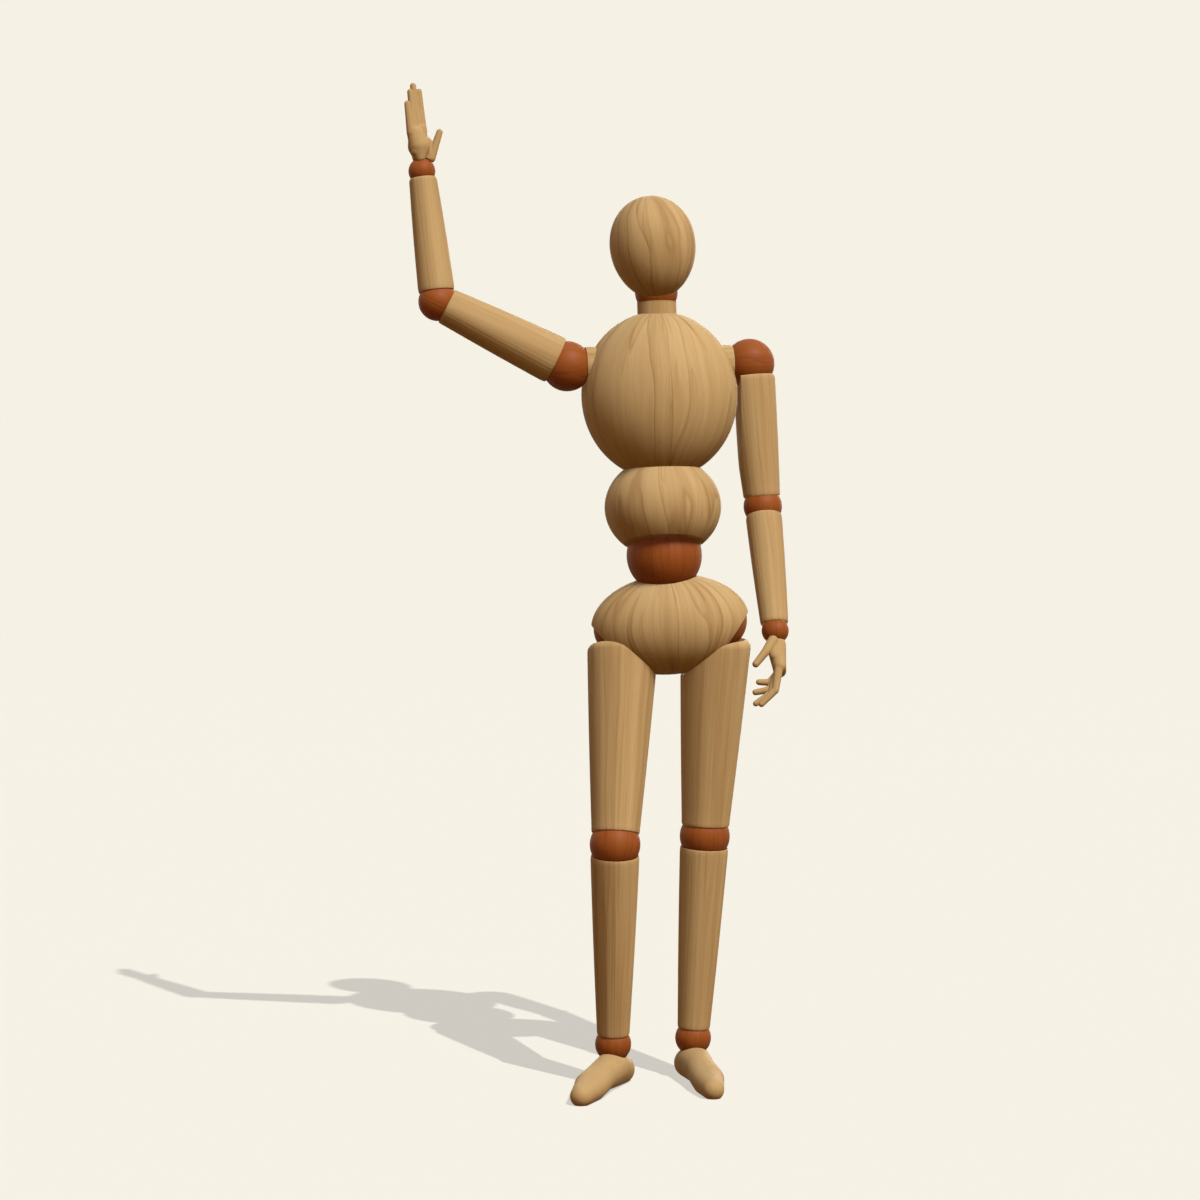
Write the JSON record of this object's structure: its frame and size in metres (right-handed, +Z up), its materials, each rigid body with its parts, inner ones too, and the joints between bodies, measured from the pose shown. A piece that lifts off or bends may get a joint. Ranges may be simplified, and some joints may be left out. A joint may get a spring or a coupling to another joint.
{
  "type": "artist drawing mannequin",
  "caption": "Jointed wooden figure for drawing practice: turned limbs and torso on red-stained ball joints, standing on its own feet with the right arm raised in a wave.",
  "frame": {"origin": "floor under the middle of the standing figure", "axes": "+Z up, the figure faces -Y, its left hand is at +X"},
  "size_m": [0.1248, 0.076, 0.3265],
  "materials": {
    "pale_wood": "clear satin varnish over fine straight grain",
    "red_stained_wood": "red-brown stain under satin varnish",
    "spring_steel": "plain drawn wire"
  },
  "bodies": {
    "pelvis_body": {"pelvis": "pale_wood", "pelvis_screw_eye": "spring_steel"},
    "waist_ball_body": {"waist_ball": "red_stained_wood"},
    "abdomen_body": {"abdomen": "pale_wood", "spine_spring": "spring_steel"},
    "chest_body": {"chest": "pale_wood", "right_shoulder_peg": "pale_wood", "left_shoulder_peg": "pale_wood"},
    "neck_body": {"neck": "pale_wood"},
    "neck_ball_body": {"neck_ball": "red_stained_wood"},
    "head_body": {"head": "pale_wood", "head_screw_eye": "spring_steel"},
    "right_shoulder_ball_body": {"right_shoulder_ball": "red_stained_wood", "right_shoulder_pin": "spring_steel"},
    "right_upper_arm_body": {"right_upper_arm": "pale_wood", "right_upper_arm_spring": "spring_steel"},
    "right_elbow_ball_body": {"right_elbow_ball": "red_stained_wood", "right_elbow_pin": "spring_steel"},
    "right_forearm_body": {"right_forearm": "pale_wood", "right_forearm_spring": "spring_steel"},
    "right_wrist_ball_body": {"right_wrist_ball": "red_stained_wood", "right_wrist_pin": "spring_steel"},
    "right_hand_body": {"right_hand": "pale_wood", "right_hand_screw_eye": "spring_steel"},
    "right_hip_ball_body": {"right_hip_ball": "red_stained_wood", "right_hip_pin": "spring_steel"},
    "right_thigh_body": {"right_thigh": "pale_wood", "right_thigh_spring": "spring_steel"},
    "right_knee_ball_body": {"right_knee_ball": "red_stained_wood", "right_knee_pin": "spring_steel"},
    "right_shin_body": {"right_shin": "pale_wood", "right_shin_spring": "spring_steel"},
    "right_ankle_ball_body": {"right_ankle_ball": "red_stained_wood", "right_ankle_pin": "spring_steel"},
    "right_foot_body": {"right_foot": "pale_wood", "right_foot_screw_eye": "spring_steel"},
    "left_shoulder_ball_body": {"left_shoulder_ball": "red_stained_wood", "left_shoulder_pin": "spring_steel"},
    "left_upper_arm_body": {"left_upper_arm": "pale_wood", "left_upper_arm_spring": "spring_steel"},
    "left_elbow_ball_body": {"left_elbow_ball": "red_stained_wood", "left_elbow_pin": "spring_steel"},
    "left_forearm_body": {"left_forearm": "pale_wood", "left_forearm_spring": "spring_steel"},
    "left_wrist_ball_body": {"left_wrist_ball": "red_stained_wood", "left_wrist_pin": "spring_steel"},
    "left_hand_body": {"left_hand": "pale_wood", "left_hand_screw_eye": "spring_steel"},
    "left_hip_ball_body": {"left_hip_ball": "red_stained_wood", "left_hip_pin": "spring_steel"},
    "left_thigh_body": {"left_thigh": "pale_wood", "left_thigh_spring": "spring_steel"},
    "left_knee_ball_body": {"left_knee_ball": "red_stained_wood", "left_knee_pin": "spring_steel"},
    "left_shin_body": {"left_shin": "pale_wood", "left_shin_spring": "spring_steel"},
    "left_ankle_ball_body": {"left_ankle_ball": "red_stained_wood", "left_ankle_pin": "spring_steel"},
    "left_foot_body": {"left_foot": "pale_wood", "left_foot_screw_eye": "spring_steel"}
  },
  "joints": [
    {"name": "waist_side", "type": "hinge", "parent": "pelvis_body", "child": "waist_ball_body", "pos_m": [0.02225, 0.01041, 0.17295], "axis": [0, 1, 0], "range_deg": [-12, 9]},
    {"name": "waist_lean", "type": "hinge", "parent": "waist_ball_body", "child": "abdomen_body", "pos_m": [0.02225, 0.01041, 0.17295], "axis": [0.9996, 0, 0.0297], "range_deg": [-14, 14]},
    {"name": "chest_turn", "type": "hinge", "parent": "abdomen_body", "child": "chest_body", "pos_m": [0.02225, 0.01041, 0.17295], "axis": [-0.0295, 0.1149, 0.9929], "range_deg": [-20, 20]},
    {"name": "neck_turn", "type": "hinge", "parent": "chest_body", "child": "neck_body", "pos_m": [0.02225, 0.01041, 0.17295], "axis": [0.0295, -0.1149, -0.9929], "range_deg": [-25, 25]},
    {"name": "head_tilt", "type": "hinge", "parent": "neck_body", "child": "neck_ball_body", "pos_m": [0.01971, 0.02032, 0.25854], "axis": [-0.153, 0.9811, -0.1181], "range_deg": [-15, 15]},
    {"name": "head_nod", "type": "hinge", "parent": "neck_ball_body", "child": "head_body", "pos_m": [0.01971, 0.02032, 0.25854], "axis": [0.9811, 0.1652, 0.1013], "range_deg": [-15, 8]},
    {"name": "right_shoulder_swing", "type": "hinge", "parent": "chest_body", "child": "right_shoulder_ball_body", "pos_m": [-0.00942, 0.01288, 0.23447], "axis": [0.9878, 0.1554, 0.0113], "range_deg": [-50, 50]},
    {"name": "right_shoulder_raise", "type": "hinge", "parent": "right_shoulder_ball_body", "child": "right_upper_arm_body", "pos_m": [-0.00942, 0.01288, 0.23447], "axis": [-0.1511, 0.9732, -0.1734], "range_deg": [-87.6, 4.4]},
    {"name": "right_upper_arm_twist", "type": "hinge", "parent": "right_upper_arm_body", "child": "right_elbow_ball_body", "pos_m": [-0.05139, 0.01009, 0.25544], "axis": [0.893, 0.0592, -0.4462], "range_deg": [-60, 60]},
    {"name": "right_elbow_bend", "type": "hinge", "parent": "right_elbow_ball_body", "child": "right_forearm_body", "pos_m": [-0.05139, 0.01009, 0.25544], "axis": [-0.1511, 0.9732, -0.1734], "range_deg": [-57.5, 0]},
    {"name": "right_forearm_twist", "type": "hinge", "parent": "right_forearm_body", "child": "right_wrist_ball_body", "pos_m": [-0.05667, 0.01682, 0.29779], "axis": [0.1222, -0.1556, -0.9802], "range_deg": [-70, 70]},
    {"name": "right_wrist_bend", "type": "hinge", "parent": "right_wrist_ball_body", "child": "right_hand_body", "pos_m": [-0.05667, 0.01682, 0.29779], "axis": [0.5148, 0.8543, -0.0715], "range_deg": [-35, 40]},
    {"name": "right_hip_swing", "type": "hinge", "parent": "pelvis_body", "child": "right_hip_ball_body", "pos_m": [0.00898, 0.01041, 0.1491], "axis": [0.9962, 0, 0.0872], "range_deg": [-21.4, 36.6]},
    {"name": "right_hip_abduct", "type": "hinge", "parent": "right_hip_ball_body", "child": "right_thigh_body", "pos_m": [0.00898, 0.01041, 0.1491], "axis": [0.022, 0.9677, -0.2511], "range_deg": [0, 25]},
    {"name": "right_thigh_twist", "type": "hinge", "parent": "right_thigh_body", "child": "right_knee_ball_body", "pos_m": [0.00617, -0.00738, 0.08032], "axis": [0.0394, 0.2501, 0.9674], "range_deg": [-25, 0]},
    {"name": "right_knee_bend", "type": "hinge", "parent": "right_knee_ball_body", "child": "right_shin_body", "pos_m": [0.00617, -0.00738, 0.08032], "axis": [0.9967, -0.0784, -0.0204], "range_deg": [-23, 23]},
    {"name": "right_shin_twist", "type": "hinge", "parent": "right_shin_body", "child": "right_ankle_ball_body", "pos_m": [0.00559, 0.00252, 0.01365], "axis": [0.0087, -0.1468, 0.9891], "range_deg": [-20, 0]},
    {"name": "right_ankle_pitch", "type": "hinge", "parent": "right_ankle_ball_body", "child": "right_foot_body", "pos_m": [0.00559, 0.00252, 0.01365], "axis": [0.9448, -0.3228, -0.0562], "range_deg": [-14, 32]},
    {"name": "left_shoulder_swing", "type": "hinge", "parent": "chest_body", "child": "left_shoulder_ball_body", "pos_m": [0.05024, 0.02226, 0.23515], "axis": [-0.9878, -0.1554, -0.0113], "range_deg": [-7, 60]},
    {"name": "left_shoulder_raise", "type": "hinge", "parent": "left_shoulder_ball_body", "child": "left_upper_arm_body", "pos_m": [0.05024, 0.02226, 0.23515], "axis": [-0.153, 0.9811, -0.1181], "range_deg": [-116.4, 0]},
    {"name": "left_upper_arm_twist", "type": "hinge", "parent": "left_upper_arm_body", "child": "left_elbow_ball_body", "pos_m": [0.05454, 0.01733, 0.18861], "axis": [-0.0914, 0.105, 0.9903], "range_deg": [-20, 60]},
    {"name": "left_elbow_bend", "type": "hinge", "parent": "left_elbow_ball_body", "child": "left_forearm_body", "pos_m": [0.05454, 0.01733, 0.18861], "axis": [0.9956, -0.0105, 0.093], "range_deg": [-34.8, 17.2]},
    {"name": "left_forearm_twist", "type": "hinge", "parent": "left_forearm_body", "child": "left_wrist_ball_body", "pos_m": [0.05806, 0.00029, 0.14907], "axis": [-0.0814, 0.3943, 0.9154], "range_deg": [-70, 70]},
    {"name": "left_wrist_bend", "type": "hinge", "parent": "left_wrist_ball_body", "child": "left_hand_body", "pos_m": [0.05806, 0.00029, 0.14907], "axis": [0.0463, 0.9189, -0.3917], "range_deg": [-39, 32]},
    {"name": "left_hip_swing", "type": "hinge", "parent": "pelvis_body", "child": "left_hip_ball_body", "pos_m": [0.03946, 0.01041, 0.15177], "axis": [-0.9962, 0, -0.0872], "range_deg": [-20.5, 37.5]},
    {"name": "left_hip_abduct", "type": "hinge", "parent": "left_hip_ball_body", "child": "left_thigh_body", "pos_m": [0.03946, 0.01041, 0.15177], "axis": [-0.0023, 0.9997, 0.0261], "range_deg": [-25, 0]},
    {"name": "left_thigh_twist", "type": "hinge", "parent": "left_thigh_body", "child": "left_knee_ball_body", "pos_m": [0.03561, 0.01225, 0.0808], "axis": [0.0541, -0.0259, 0.9982], "range_deg": [0, 25]},
    {"name": "left_knee_bend", "type": "hinge", "parent": "left_knee_ball_body", "child": "left_shin_body", "pos_m": [0.03561, 0.01225, 0.0808], "axis": [0.9985, 0.0037, -0.054], "range_deg": [-1.7, 44.3]},
    {"name": "left_shin_twist", "type": "hinge", "parent": "left_shin_body", "child": "left_ankle_ball_body", "pos_m": [0.03196, 0.01599, 0.0136], "axis": [0.0542, -0.0556, 0.997], "range_deg": [0, 20]},
    {"name": "left_ankle_pitch", "type": "hinge", "parent": "left_ankle_ball_body", "child": "left_foot_body", "pos_m": [0.03196, 0.01599, 0.0136], "axis": [0.9875, 0.1512, -0.0452], "range_deg": [-18.4, 27.6]}
  ]
}
